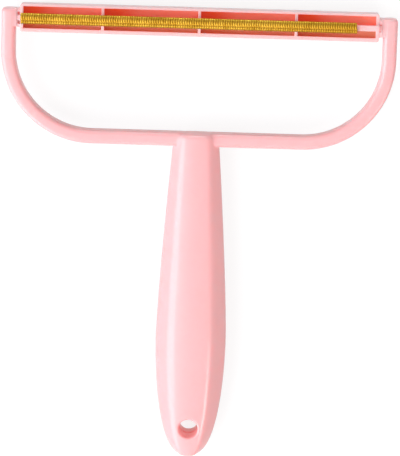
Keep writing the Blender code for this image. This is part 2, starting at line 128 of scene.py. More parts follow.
def new_object(name, data):
    obj = bpy.data.objects.new(name, data)
    bpy.context.scene.collection.objects.link(obj)
    return obj


def photo_camera():
    back = Vector((
        -math.sin(CAMERA_YAW) * math.cos(CAMERA_TILT),
        math.sin(CAMERA_TILT),
        math.cos(CAMERA_YAW) * math.cos(CAMERA_TILT),
    ))
    level_right = Vector((0, 1, 0)).cross(back).normalized()
    level_up = back.cross(level_right)
    cosine, sine = math.cos(CAMERA_ROLL), math.sin(CAMERA_ROLL)
    right = level_right * cosine + level_up * sine
    up = level_up * cosine - level_right * sine
    data = bpy.data.cameras.new("photo_camera")
    data.sensor_width = SENSOR
    data.lens = SENSOR * FOCAL_PIXELS / max(PHOTO_WIDTH, PHOTO_HEIGHT)
    data.clip_start = 0.01
    data.clip_end = 20
    camera = new_object("photo_camera", data)
    turn = Matrix((right, up, back)).transposed().to_4x4()
    camera.matrix_world = Matrix.Translation(CAMERA_AIM + back * CAMERA_DISTANCE) @ turn
    bpy.context.scene.camera = camera
    return camera


camera = photo_camera()
print("focal length, mm:", round(camera.data.lens, 1))

# %% [markdown]
# Materials, the sky and Geometry Nodes are all trees of nodes, built here by the same few
# helpers. A node's input takes a plain value, another node's output or a whole node, which
# stands for its first output.

# %% Helpers for node trees
SOCKET_KINDS = {float: "Float", int: "Int", tuple: "Vector"}


def feed(tree, socket, value):
    """Gives an input a value, or links it to an output or to a node's first output."""
    if isinstance(value, bpy.types.Node):
        value = value.outputs[0]
    if isinstance(value, bpy.types.NodeSocket):
        tree.links.new(value, socket)
    else:
        socket.default_value = value


def add_node(tree, kind, inputs=None, **settings):
    """Adds a node with its settings, and feeds its inputs by name or by number."""
    node = tree.nodes.new(kind)
    for name, value in settings.items():
        setattr(node, name, value)
    for key, value in (inputs or {}).items():
        feed(tree, node.inputs[key], value)
    return node


def math_node(tree, operation, first, second):
    return add_node(tree, "ShaderNodeMath", {0: first, 1: second}, operation=operation)


def product(tree, first, *others):
    for other in others:
        first = math_node(tree, "MULTIPLY", first, other)
    return first


def vector(tree, x=0.0, y=0.0, z=0.0):
    return add_node(tree, "ShaderNodeCombineXYZ", {"X": x, "Y": y, "Z": z})


def fading(tree, value, start, end):
    """A value that goes softly from 0 to 1 while the given one goes from start to end."""
    inputs = {"Value": value, "From Min": start, "From Max": end}
    return add_node(tree, "ShaderNodeMapRange", inputs, interpolation_type="SMOOTHSTEP")


def colour_mix(tree, factor, first, second):
    inputs = {"Factor": factor, "A": first, "B": second}
    return add_node(tree, "ShaderNodeMix", inputs, data_type="RGBA").outputs["Result"]


def noise(tree, scale, detail):
    """A cloudy value in Object coordinates, so that the pattern stays on the piece."""
    place = tree.nodes.new("ShaderNodeTexCoord").outputs["Object"]
    inputs = {"Vector": place, "Scale": scale, "Detail": detail}
    return add_node(tree, "ShaderNodeTexNoise", inputs).outputs["Fac"]


def new_material(name, values):
    """A material, its node tree and its shader, which takes the values by name."""
    material = bpy.data.materials.new(name)
    material.use_nodes = True
    tree = material.node_tree
    shader = tree.nodes["Principled BSDF"]
    for key, value in values.items():
        feed(tree, shader.inputs[key], value)
    return material, tree, shader


def add_socket(tree, name, kind, value=None, direction="INPUT"):
    kind = "NodeSocket" + kind
    socket = tree.interface.new_socket(name=name, in_out=direction, socket_type=kind)
    if value is not None:
        socket.default_value = value


def geometry_tree(name, source, values):
    """A tree whose inputs are a source shape, named values and a material."""
    tree = bpy.data.node_groups.new(name, "GeometryNodeTree")
    add_socket(tree, source, "Geometry")
    for key, value in values.items():
        add_socket(tree, key, SOCKET_KINDS[type(value)], value)
    add_socket(tree, "Material", "Material")
    add_socket(tree, "Geometry", "Geometry", direction="OUTPUT")
    return tree, tree.nodes.new("NodeGroupInput").outputs


def end_tree(tree, geometry, material):
    """Makes the copies real, gives them their material and ends the tree."""
    real = add_node(tree, "GeometryNodeRealizeInstances", {"Geometry": geometry})
    inputs = {"Geometry": real, "Material": material}
    coat = add_node(tree, "GeometryNodeSetMaterial", inputs)
    add_node(tree, "NodeGroupOutput", {"Geometry": coat})


def apply_tree(obj, tree, values):
    """Adds the tree as a modifier and sets its inputs, which are found by their names."""
    modifier = obj.modifiers.new(tree.name, "NODES")
    modifier.node_group = tree
    keys = {i.name: i.identifier for i in tree.interface.items_tree if i.in_out == "INPUT"}
    for name, value in values.items():
        modifier[keys[name]] = value


print("kinds of named input:", ", ".join(SOCKET_KINDS.values()))

# %% [markdown]
# The light is a plain studio set. One large soft lamp stands to the left and a little towards
# the handle, because the photograph shows the left flanks pale, the right flanks deeper and
# the rail's far side grey. A soft sky and a weak lamp on the right keep the shadows open, and
# a weak low lamp beyond the head opens the sides that face away from the handle. Floor and sky
# look white to the camera and in the brass, and the floor still takes a faint shadow.

# %% Lamps, floor and sky
LAMPS = (
    # name, place in metres, width, power in watts, colour
    ("key_lamp", (-1.44, -0.61, 0.95), 2.7, 52.8, (0.92, 0.95, 1.0)),
    ("top_lamp", (-0.60, -0.30, 1.50), 0.68, 2.5, (0.92, 0.95, 1.0)),
    ("fill_lamp", (0.93, -0.68, 0.90), 0.6, 6.75, (1.0, 0.90, 0.86)),
    ("head_lamp", (0.0, 1.50, 0.165), 0.3, 6.4, (0.62, 0.95, 1.0)),
)
SKY_LEVEL = 0.44
FLOOR_SIZE = 4.0
FLOOR_GREY = 0.23
FLOOR_GLOW = 0.82


def add_lamp(name, place, size, power, colour):
    data = bpy.data.lights.new(name, "AREA")
    data.shape = "DISK"
    data.size = size
    data.energy = power
    data.color = colour
    lamp = new_object(name, data)
    lamp.location = place
    lamp.rotation_euler = Vector(place).to_track_quat("Z", "Y").to_euler()


def seen_or_mirrored(tree):
    """A value of 1 for what is seen directly, in a reflection or through something clear."""
    rays = tree.nodes.new("ShaderNodeLightPath").outputs
    mirrored = math_node(tree, "MAXIMUM", rays["Is Glossy Ray"], rays["Is Transmission Ray"])
    return math_node(tree, "MAXIMUM", rays["Is Camera Ray"], mirrored)


def white_sky():
    world = bpy.data.worlds.new("studio_sky")
    world.use_nodes = True
    tree = world.node_tree
    sky = tree.nodes["Background"]
    levels = {"Value": seen_or_mirrored(tree), "To Min": SKY_LEVEL, "To Max": 1.0}
    feed(tree, sky.inputs["Strength"], add_node(tree, "ShaderNodeMapRange", levels))
    feed(tree, sky.inputs["Color"], (1, 1, 1, 1))
    bpy.context.scene.world = world


def pale_floor():
    """A pale floor. Part of the white that is seen is its own glow, so that shadows stay faint."""
    bm = bmesh.new()
    bmesh.ops.create_grid(bm, x_segments=1, y_segments=1, size=FLOOR_SIZE)
    mesh = bpy.data.meshes.new("floor")
    bm.to_mesh(mesh)
    bm.free()
    floor = new_object("floor", mesh)
    material, tree, shader = new_material("floor_white", {
        "Base Color": (FLOOR_GREY, FLOOR_GREY, FLOOR_GREY, 1),
        "Roughness": 1.0,
        "Specular IOR Level": 0.0,
        "Emission Color": (1, 1, 1, 1),
    })
    glow = product(tree, seen_or_mirrored(tree), FLOOR_GLOW)
    feed(tree, shader.inputs["Emission Strength"], glow)
    mesh.materials.append(material)


for lamp in LAMPS:
    add_lamp(*lamp)
white_sky()
pale_floor()
bpy.context.scene.view_settings.view_transform = "Standard"
print("lamps:", [lamp[0] for lamp in LAMPS])

# %% [markdown]
# Moulded plastic is never one flat colour. Its pink drifts a little where the melt cooled at
# different speeds, and its polish has a very faint orange peel. One shader group holds this
# effect for every moulding.

# %% A shader group for moulded plastic
CLOUD_SIZE = 24 * MM
CLOUD_AMOUNT = 0.25
PEEL_SIZE = 1.6 * MM
PEEL_DEPTH = 0.02 * MM


def moulded_group():
    group = bpy.data.node_groups.new("moulded_surface", "ShaderNodeTree")
    add_socket(group, "Pink", "Color")
    add_socket(group, "Deep Pink", "Color")
    add_socket(group, "Cloud Size", "Float", CLOUD_SIZE)
    add_socket(group, "Cloud Amount", "Float", CLOUD_AMOUNT)
    add_socket(group, "Peel Size", "Float", PEEL_SIZE)
    add_socket(group, "Color", "Color", direction="OUTPUT")
    add_socket(group, "Height", "Float", direction="OUTPUT")
    given = group.nodes.new("NodeGroupInput").outputs
    clouds = noise(group, math_node(group, "DIVIDE", 1.0, given["Cloud Size"]), 2.0)
    peel = noise(group, math_node(group, "DIVIDE", 1.0, given["Peel Size"]), 1.0)
    cloudiness = product(group, clouds, given["Cloud Amount"])
    tint = colour_mix(group, cloudiness, given["Pink"], given["Deep Pink"])
    add_node(group, "NodeGroupOutput", {"Color": tint, "Height": peel})
    return group


moulded_surface = moulded_group()
print("shader group:", moulded_surface.name, "with", len(moulded_surface.nodes), "nodes")

# %% [markdown]
# The shells and the bar share that group with their own values. Light that enters this thin
# pink plastic comes out redder on the shaded side. Subsurface scattering does most of that, and
# a very faint red glow stands for the light that crosses the hollow handle.

# %% Pink plastic
PINK = (0.95, 0.48, 0.49, 1)
DEEP_PINK = (0.94, 0.44, 0.445, 1)
BAR_PINK = (0.96, 0.56, 0.565, 1)
BAR_DEEP_PINK = (0.95, 0.52, 0.52, 1)
THIN_WALL_GLOW = (0.055, 0.006, 0.004, 1)


def plastic_material(name, pink, deep_pink, roughness, gloss):
    """Returns the material and the output that carries its colour."""
    material, tree, shader = new_material(name, {
        "Roughness": roughness,
        "IOR": 1.49,
        "Specular IOR Level": gloss,
        "Subsurface Weight": 0.60,
        "Subsurface Radius": (1.0, 0.30, 0.25),
        "Subsurface Scale": 4.0 * MM,
        "Emission Strength": 1.0,
    })
    pinks = {"Pink": pink, "Deep Pink": deep_pink}
    surface = add_node(tree, "ShaderNodeGroup", pinks, node_tree=moulded_surface)
    peel = {"Strength": 0.05, "Distance": PEEL_DEPTH, "Height": surface.outputs["Height"]}
    feed(tree, shader.inputs["Normal"], add_node(tree, "ShaderNodeBump", peel))
    feed(tree, shader.inputs["Base Color"], surface.outputs["Color"])
    return material, surface.outputs["Color"]


shell_pink, shell_colour = plastic_material("shell_pink", PINK, DEEP_PINK, 0.28, 0.80)
bar_pink, bar_colour = plastic_material("bar_pink", BAR_PINK, BAR_DEEP_PINK, 0.30, 0.35)
print("plastic finishes:", shell_pink.name, bar_pink.name)

# %% [markdown]
# Each shell is one moulding in which a handle grows out of a frame. The frame's section stays
# the same along a path of two straight arms, two round corners and a rail, and that is what
# Geometry Nodes do best: a path of four points, corners rounded by Fillet Curve, and a rounded
# rectangle swept along it with Curve to Mesh. Every size is a named input of the tree.

# %% A node tree that sweeps the frame
RING_SPACING = 0.7 * MM
SHOULDER_STEPS = 8
CORNER_STEPS = 64


def sweep_tree():
    tree, given = geometry_tree("frame_sweep", "Path", {
        "Width": FRAME_WIDTH,
        "Depth": FRAME_DEPTH,
        "Shoulder Width": SHOULDER_WIDTH,
        "Shoulder Depth": SHOULDER_DEPTH,
        "Corner Radius": FRAME_CORNER_RADIUS,
        "Ring Spacing": RING_SPACING,
    })

    def rounded(curve, radius, steps):
        inputs = {"Curve": curve, "Radius": radius, "Count": steps}
        return add_node(tree, "GeometryNodeFilletCurve", inputs, mode="POLY")

    # A rectangle with round corners, stretched so that its shoulders are taller than wide
    stretch = math_node(tree, "DIVIDE", given["Shoulder Depth"], given["Shoulder Width"])
    low_depth = math_node(tree, "DIVIDE", given["Depth"], stretch)
    sides = {"Width": given["Width"], "Height": low_depth}
    outline = add_node(tree, "GeometryNodeCurvePrimitiveQuadrilateral", sides)
    soft = rounded(outline, given["Shoulder Width"], SHOULDER_STEPS)
    stretched = {"Geometry": soft, "Scale": vector(tree, 1.0, stretch, 1.0)}
    profile = add_node(tree, "GeometryNodeTransform", stretched)

    # The path, with its two corners rounded and rings at an even spacing
    half_width = math_node(tree, "DIVIDE", given["Width"], 2.0)
    radius = math_node(tree, "SUBTRACT", given["Corner Radius"], half_width)
    even = {"Curve": rounded(given["Path"], radius, CORNER_STEPS), "Length": given["Ring Spacing"]}
    rings = add_node(tree, "GeometryNodeResampleCurve", even, mode="LENGTH")
    upright = add_node(tree, "GeometryNodeSetCurveNormal", {"Curve": rings}, mode="Z_UP")
    swept = {"Curve": upright, "Profile Curve": profile, "Fill Caps": True}
    end_tree(tree, add_node(tree, "GeometryNodeCurveToMesh", swept), given["Material"])
    return tree


frame_sweep = sweep_tree()
print("node tree:", frame_sweep.name, "with", len(frame_sweep.nodes), "nodes")

# %% [markdown]
# A tree's result becomes a plain mesh before anything else happens to it. A helper evaluates
# the object, keeps the mesh and throws the modifier away with the source object, so that
# nothing procedural is left on the piece.

# %% Helpers for meshes and Booleans
WELD = 0.002 * MM
TOUCH = 0.001 * MM


def remove(obj):
    bpy.data.objects.remove(obj)


def opened(obj):
    bm = bmesh.new()
    bm.from_mesh(obj.data)
    return bm


def write_back(bm, obj):
    bm.to_mesh(obj.data)
    bm.free()


def mesh_object(name, bm, material=None):
    bmesh.ops.recalc_face_normals(bm, faces=bm.faces)
    mesh = bpy.data.meshes.new(name)
    bm.to_mesh(mesh)
    bm.free()
    if material:
        mesh.materials.append(material)
    return new_object(name, mesh)


def plain_mesh(source, name):
    """An object's evaluated shape as a new object, at the origin and without modifiers."""
    graph = bpy.context.evaluated_depsgraph_get()
    graph.update()
    mesh = bpy.data.meshes.new_from_object(source.evaluated_get(graph), depsgraph=graph)
    remove(source)
    mesh.name = name
    return new_object(name, mesh)


def combined(target, tool, operation, name=None):
    """The Boolean of two objects as a plain mesh. Both of them are used up."""
    modifier = target.modifiers.new(operation, "BOOLEAN")
    modifier.operation = operation
    modifier.solver = "EXACT"
    modifier.material_mode = "TRANSFER"
    modifier.object = tool
    result = plain_mesh(target, name or target.name)
    remove(tool)
    return result


def spaced(start, end, count):
    return [start + (end - start) * i / count for i in range(count + 1)]


def quarter_turn(count):
    return spaced(0.0, math.radians(90), count)


def bridge(bm, ring, following):
    for i in range(len(ring)):
        j = (i + 1) % len(ring)
        bm.faces.new((ring[i], ring[j], following[j], following[i]))


def loft(bm, sections):
    """A closed body through sections, each of which is a ring of points."""
    rings = [[bm.verts.new(point) for point in section] for section in sections]
    for ring, following in zip(rings, rings[1:]):
        bridge(bm, ring, following)
    bm.faces.new(list(reversed(rings[0])))
    bm.faces.new(rings[-1])
    return bm


def box_mesh(bm, low, high):
    size = Vector(high) - Vector(low)
    place = Matrix.Translation((Vector(high) + Vector(low)) / 2)
    bmesh.ops.create_cube(bm, size=1.0, matrix=place @ Matrix.Diagonal((*size, 1)))


def round_edges(bm, edges, radius, segments):
    bmesh.ops.bevel(
        bm, geom=edges, offset=radius, segments=segments, profile=0.5,
        affect="EDGES", clamp_overlap=True,
    )


def swept_frame(name):
    curve = bpy.data.curves.new(name, "CURVE")
    curve.dimensions = "3D"
    spline = curve.splines.new("POLY")
    arm_end = arm_tip_y - ARM_TIP_RADIUS
    stops = [(-arm_x, arm_end), (-arm_x, rail_y), (arm_x, rail_y), (arm_x, arm_end)]
    spline.points.add(len(stops) - 1)
    for point, (x, y) in zip(spline.points, stops):
        point.co = (x, y, seam_z, 1)
    source = new_object(name, curve)
    apply_tree(source, frame_sweep, {"Material": shell_pink})
    return plain_mesh(source, name)


frame_body = swept_frame("frame_body")
print("frame faces:", len(frame_body.data.polygons))

# %% [markdown]
# The sweep ends in flat caps, but the real arms end in a soft round. Each cap is opened and
# closed again with a few smaller and smaller rings, which follow a quarter circle. On the inner
# side, where the bar's neck comes out level with the tip, the round is much smaller.

# %% Round the arm tips
INNER_CORNER = 0.3


def round_arm_tips(obj):
    bm = opened(obj)
    for cap in [face for face in bm.faces if len(face.verts) > 4]:
        first = ring = list(cap.verts)
        middle = math.copysign(arm_x, first[0].co.x)
        bm.faces.remove(cap)
        for turn in quarter_turn(7)[1:]:
            inset = ARM_TIP_RADIUS * (1 - math.cos(turn))
            y = arm_tip_y - ARM_TIP_RADIUS * (1 - math.sin(turn))
            following = []
            for vert in first:
                inset_x = inset * (INNER_CORNER if abs(vert.co.x) < arm_x else 1.0)
                x = vert.co.x - math.copysign(inset_x, vert.co.x - middle)
                z = vert.co.z - math.copysign(inset, vert.co.z - seam_z)
                following.append(bm.verts.new((x, y, z)))
            bridge(bm, ring, following)
            ring = following
        bm.faces.new(ring)
    bmesh.ops.recalc_face_normals(bm, faces=bm.faces)
    write_back(bm, obj)


round_arm_tips(frame_body)
print("faces with round tips:", len(frame_body.data.polygons))

# %% [markdown]
# The handle is a loft: the same six-sided section, drawn at many places along Y, with a width
# and a thickness that follow two formulas. A crowned panel, soft ridges, sloping flanks and a
# narrow rounded edge make up the section, as on the real grip.

# %% The handle as a loft
CROWN_SWEEP = math.radians(80)
TIP_SWEEP = math.radians(89.2)


def handle_half(y, root, widest, bluntness):
    if y >= widest_y:
        rise = (y - widest_y) / (rail_y - widest_y)
        return (widest - (widest - root) * rise**TAPER_POWER) / 2
    fall = (widest_y - y) / (widest_y - tip_y)
    return widest / 2 * (1 - fall**TIP_POWER) ** (1 / bluntness)


def handle_halves(y, inset):
    half_width = handle_half(y, ROOT_WIDTH, GRIP_WIDTH, TIP_BLUNTNESS)
    half_depth = handle_half(y, ROOT_THICKNESS, GRIP_THICKNESS, TIP_SIDE_BLUNTNESS)
    return half_width - inset, half_depth - inset


def panel_height(x, y, inset=0.0):
    half_width, half_depth = handle_halves(y, inset)
    return half_depth * (1 - PANEL_DROP * (x / (RIDGE_AT * half_width)) ** 2)


def bend(start, corner, end, steps):
    points = []
    for t in spaced(0.0, 1.0, steps):
        a, b, c = (1 - t) ** 2, 2 * t * (1 - t), t**2
        points.append(tuple(a * p + b * q + c * r for p, q, r in zip(start, corner, end)))
    return points


def between(start, end, share):
    return tuple(p + (q - p) * share for p, q in zip(start, end))


def handle_section(y, inset):
    half_width, half_depth = handle_halves(y, inset)
    ridge_x = RIDGE_AT * half_width
    panel = [(x, panel_height(x, y, inset)) for x in spaced(0.0, PANEL_FLAT_TO * ridge_x, 6)]
    ridge = (ridge_x, panel_height(ridge_x, y, inset))
    edge = (half_width, EDGE_HEIGHT * half_depth)
    flank_start = between(ridge, edge, RIDGE_ROUND_TO)
    flank_end = between(ridge, edge, EDGE_ROUND_FROM)
    shoulder = bend(panel[-1], ridge, flank_start, 10)
    flank = [between(flank_start, flank_end, share) for share in spaced(0.0, 1.0, 5)]
    hem = bend(flank_end, edge, (half_width, 0.0), 6)
    quarter = panel[:-1] + shoulder + flank[1:-1] + hem
    right = quarter + [(x, -z) for x, z in reversed(quarter[:-1])]
    left = [(-x, z) for x, z in reversed(right[1:-1])]
    return right + left


def lofted_handle():
    straight_end = rail_y + FRAME_WIDTH / 2 - CROWN_END_INSET - CROWN_END_RADIUS
    stations = []
    for turn in spaced(0.0, CROWN_SWEEP, 7):
        y = straight_end + CROWN_END_RADIUS * math.cos(turn)
        stations.append((y, CROWN_END_RADIUS * (1 - math.sin(turn))))
    near_rail = rail_y - 2.5 * FRAME_WIDTH
    ys = spaced(straight_end, near_rail, 26) + spaced(near_rail, widest_y, 44)[1:]
    ys += [widest_y - WIDEST_TO_TIP * math.sin(t) for t in spaced(0.0, TIP_SWEEP, 56)[1:]]
    stations += [(y, 0.0) for y in ys]
    sections = []
    for y, inset in stations:
        sections.append([(x, y, seam_z + z) for x, z in handle_section(y, inset)])
    return mesh_object("handle_body", loft(bmesh.new(), sections), bar_pink)


handle_body = lofted_handle()
print("handle faces:", len(handle_body.data.polygons))

# %% [markdown]
# A Boolean union gives the two shapes one skin, but with a hard crease where the handle climbs
# over the rail. A mould maker rounds it. Its points are easy to find, because the two shapes
# came in with different materials, and they lie between faces of unlike material. Points near
# it then relax towards their neighbours, less and less with distance.

# %% Join handle and frame, then soften the crease
CREASE_REACH = 1.5 * MM
CREASE_PASSES = 12


def soften_crease(obj):
    bm = opened(obj)
    bmesh.ops.remove_doubles(bm, verts=bm.verts, dist=WELD)
    bmesh.ops.triangulate(bm, faces=[face for face in bm.faces if len(face.verts) > 4])
    crease = set()
    for edge in bm.edges:
        if len({face.material_index for face in edge.link_faces}) > 1:
            crease.update(edge.verts)
    tree = KDTree(len(crease))
    for number, vert in enumerate(crease):
        tree.insert(vert.co, number)
    tree.balance()
    near = {}
    for vert in bm.verts:
        share = 1 - tree.find(vert.co)[2] / CREASE_REACH
        if share > 0:
            near[vert] = 0.5 * (share * share * (3 - 2 * share))
    for _ in range(CREASE_PASSES):
        moved = {}
        for vert, weight in near.items():
            around = [edge.other_vert(vert).co for edge in vert.link_edges]
            middle = sum(around, Vector()) / len(around)
            moved[vert] = vert.co.lerp(middle, weight)
        for vert, place in moved.items():
            vert.co = place
    for face in bm.faces:
        face.material_index = 0
    write_back(bm, obj)
    obj.data.materials.clear()
    obj.data.materials.append(shell_pink)
    return len(near)


both_shells = combined(frame_body, handle_body, "UNION", "both_shells")
print("points at the crease:", soften_crease(both_shells))

# %% [markdown]
# The hanging hole is cut with a turned shape whose rims flare out as a quarter circle. The
# panel is crowned and slopes towards the tip, so each point of the rim takes its height from
# the panel under it. Each arm gets a square pad, which stands out a little from its rounded
# inner edge and meets the bar's flat neck, and a blind pocket that holds the tenon.

# %% Cut the hanging hole and the tenon pockets
HOLE_POINTS = 96
SPINE_THICKNESS = 2.1 * MM
NECK_WIDTH = 7.4 * MM
NECK_DEPTH = 7.3 * MM
PAD_REACH = 0.45 * MM
PAD_DEPTH = 7.7 * MM
PAD_INSET = 0.25 * MM
TENON_DEPTH = 5.2 * MM
TENON_REACH = 2.7 * MM
FIT_GAP = 0.3 * MM


def hole_cutter():
    radius = HOLE_DIAMETER / 2
    rim = []
    for turn in quarter_turn(9):
        widening = HOLE_FLARE * (1 - math.cos(turn))
        rim.append((radius + widening, HOLE_FLARE * (1 - math.sin(turn))))
    rim.append((radius + HOLE_FLARE, -GRIP_THICKNESS))
    profile = [(r, depth, -1) for r, depth in reversed(rim)] + [(r, depth, 1) for r, depth in rim]
    sections = []
    for r, depth, face in profile:
        section = []
        for angle in spaced(0.0, math.tau, HOLE_POINTS)[:-1]:
            x = r * math.cos(angle)
            y = hole_y + r * math.sin(angle)
            section.append((x, y, seam_z + face * (panel_height(x, y) - depth)))
        sections.append(section)
    return mesh_object("hole_cutter", loft(bmesh.new(), sections))


def end_boxes(name, xs, half_y, half_z, middle=(0.0, 0.0), material=None):
    """Two equal boxes, left and right, where the ends of the bar meet the arms."""
    bm = bmesh.new()
    y, z = middle
    for side in (-1, 1):
        x0, x1 = sorted(side * x for x in xs)
        box_mesh(bm, (x0, y - half_y, z - half_z), (x1, y + half_y, z + half_z))
    return mesh_object(name, bm, material)


def socket_pads():
    xs = (arm_inner_x - PAD_REACH, arm_inner_x + SHOULDER_WIDTH)
    half_y = NECK_WIDTH / 2 - PAD_INSET
    return end_boxes("socket_pads", xs, half_y, PAD_DEPTH / 2, (head_y, seam_z), shell_pink)


def pocket_cutter():
    xs = (arm_inner_x - FRAME_WIDTH, arm_inner_x + TENON_REACH + FIT_GAP)
    half_y = SPINE_THICKNESS / 2 + FIT_GAP
    half_z = TENON_DEPTH / 2 + FIT_GAP
    return end_boxes("pocket_cutter", xs, half_y, half_z, (head_y, seam_z))


both_shells = combined(both_shells, hole_cutter(), "DIFFERENCE")
both_shells = combined(both_shells, socket_pads(), "UNION")
both_shells = combined(both_shells, pocket_cutter(), "DIFFERENCE")
print("faces with hole and pockets:", len(both_shells.data.polygons))

# %% [markdown]
# Now the body is sliced into its two mouldings, with the seam's gap between them. A moulding
# never ends in a knife edge, so the edges round the cut face get a tiny round. It draws the
# fine line along the arms and the rail.

# %% Slice at the seam
SEAM_ROUND = 0.14 * MM


def half_shell(name, side):
    bm = bmesh.new()
    reach = 2 * arm_outer_x
    cut_z = seam_z + side * SEAM / 2
    low_z, high_z = sorted((cut_z, seam_z - side * reach))
    box_mesh(bm, (-reach, -reach, low_z), (reach, reach, high_z))
    other_side = mesh_object(name + "_other_side", bm)
    shell = new_object(name, both_shells.data.copy())
    shell = combined(shell, other_side, "DIFFERENCE")
    bm = opened(shell)
    bmesh.ops.remove_doubles(bm, verts=bm.verts, dist=WELD)
    rim = []
    for edge in bm.edges:
        facing = [abs(face.normal.z) for face in edge.link_faces]
        on_cut = all(abs(vert.co.z - cut_z) < TOUCH for vert in edge.verts)
        if on_cut and len(facing) == 2 and min(facing) < 0.9:
            rim.append(edge)
    round_edges(bm, rim, SEAM_ROUND, 3)
    write_back(bm, shell)
    return shell


def finish_piece(obj, body, material, sharp_angle=40.0):
    """Smooth shading, one material, and its place on the model."""
    obj.data.materials.clear()
    obj.data.materials.append(material)
    obj.data.shade_smooth()
    obj.data.set_sharp_from_angle(angle=math.radians(sharp_angle))
    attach(obj, body)


for name, side, node in (("front_half", 1, "front_shell"), ("rear_half", -1, "rear_shell")):
    half = half_shell(name, side)
    finish_piece(half, "root", shell_pink)
    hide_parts(node)
    print(half.name, "faces:", len(half.data.polygons))
remove(both_shells)

# %% [markdown]
# The scraper bar is a long block with eight compartments on each face. Instead of many Boolean
# cuts it is built from a grid of cells: each cell is full or empty, and a face is made
# wherever a full cell meets an empty one. All edges then meet corner to corner, which is
# what a clean bevel needs. The wall on the handle's side looks a little thicker than the other,
# so both walls' inner faces are shifted by the same small step.

# %% Cells of the scraper bar
HEAD_WALL = 1.15 * MM
HEAD_WALL_SHIFT = 0.30 * MM
HEAD_END_WALL = 1.25 * MM
HEAD_DEPTH = 7.6 * MM
HEAD_CORNER_RADIUS = 0.95 * MM
WEB_THICKNESS = 1.6 * MM
CROSS_WALL = 1.1 * MM
CROSS_WALL_SPACING = 37.8 * MM
NECK_LENGTH = 1.85 * MM
NECK_CORNER_RADIUS = 1.5 * MM
NECK_FLARE = 0.6 * MM
NECK_COLLAR = 0.35 * MM
NECK_POCKET_LENGTH = 0.93 * MM
NECK_POCKET_WIDTH = 1.3 * MM
NECK_POCKET_DEPTH = 1.2 * MM
NECK_SLOT = 0.46 * MM
ARM_GAP = 0.05 * MM

head_half_length = arm_inner_x - NECK_LENGTH
neck_end = arm_inner_x - PAD_REACH - ARM_GAP
head_half_width = (bar_high.y - bar_low.y) / 2
spine_half_depth = (bar_high.z - bar_low.z) / 2


def mirrored(values):
    return sorted({round(s * v, 9) for v in values for s in (-1, 1)})


def bar_cells():
    walls = [-CROSS_WALL_SPACING, 0.0, CROSS_WALL_SPACING]
    wall_edges = [x + side * CROSS_WALL / 2 for x in walls for side in (-1, 1)]
    xs = sorted(wall_edges + mirrored([head_half_length - HEAD_END_WALL, head_half_length]))
    ys = mirrored([SPINE_THICKNESS / 2, head_half_width])
    ys = sorted(ys + [HEAD_WALL_SHIFT + side * (head_half_width - HEAD_WALL) for side in (-1, 1)])
    zs = mirrored([WEB_THICKNESS / 2, HEAD_DEPTH / 2, spine_half_depth])

    def full(x, y, z):
        in_block = abs(z) < HEAD_DEPTH / 2 and (
            abs(z) < WEB_THICKNESS / 2
            or any(abs(x - wall) < CROSS_WALL / 2 for wall in walls)
            or abs(x) > head_half_length - HEAD_END_WALL
            or abs(y - HEAD_WALL_SHIFT) > head_half_width - HEAD_WALL
        )
        return in_block or abs(y) < SPINE_THICKNESS / 2

    return (xs, ys, zs), full


def cell_mesh(bm, steps, full):
    """One face wherever a full cell meets an empty one."""
    middles = [[(a + b) / 2 for a, b in zip(axis, axis[1:])] for axis in steps]
    corners = {}

    def corner(index):
        if index not in corners:
            corners[index] = bm.verts.new([axis[i] for axis, i in zip(steps, index)])
        return corners[index]

    def is_full(index):
        inside = all(0 <= i < len(axis) for axis, i in zip(middles, index))
        return inside and full(*(axis[i] for axis, i in zip(middles, index)))

    for index in filter(is_full, itertools.product(*(range(len(m)) for m in middles))):
        for axis, side in itertools.product(range(3), (0, 1)):
            beyond = list(index)
            beyond[axis] += 2 * side - 1
            if is_full(beyond):
                continue
            square = []
            for a, b in ((0, 0), (1, 0), (1, 1), (0, 1)):
                place = list(index)
                place[axis] += side
                place[(axis + 1) % 3] += a
                place[(axis + 2) % 3] += b
                square.append(corner(tuple(place)))
            bm.faces.new(square)
    bmesh.ops.recalc_face_normals(bm, faces=bm.faces)


def edges_at(bm, axis, distance):
    """The edges that lie at this distance from the middle along X (0) or Y (1)."""

    def near(vert):
        return abs(abs(vert.co[axis]) - distance) < TOUCH

    return {edge for edge in bm.edges if all(near(vert) for vert in edge.verts)}


def round_corners(bm):
    """The four upright corners of the block, which are rounder than its other edges."""
    corners = edges_at(bm, 0, head_half_length) & edges_at(bm, 1, head_half_width)
    round_edges(bm, [edge for edge in bm.edges if edge in corners], HEAD_CORNER_RADIUS, 6)


steps, full = bar_cells()
bar_bm = bmesh.new()
cell_mesh(bar_bm, steps, full)
round_corners(bar_bm)
print("bar faces before rounding:", len(bar_bm.faces))

# %% [markdown]
# The bar ends in flat necks with a tongue across them, which runs on as the tenon in the arm.
# A neck is a short loft of rounded rectangles that flares where it meets the bar. Necks and
# tenons are joined to the block. Beside the tongue, deep pockets are cut at the left end and
# thin slots at the right end. One bevel then rounds every hard edge but those that lie
# against the pads.

# %% Necks, tenons and rounding
BAR_ROUND = 0.22 * MM
HARD_ANGLE = math.radians(40)


def rounded_rectangle(width, depth, corner_radius):
    corner = Vector((width / 2 - corner_radius, depth / 2 - corner_radius))
    points = []
    for quarter, signs in enumerate(((1, 1), (-1, 1), (-1, -1), (1, -1))):
        middle = corner * Vector(signs)
        start = math.radians(90 * quarter)
        for turn in spaced(start, start + math.radians(90), 6):
            points.append(middle + corner_radius * Vector((math.cos(turn), math.sin(turn))))
    return points


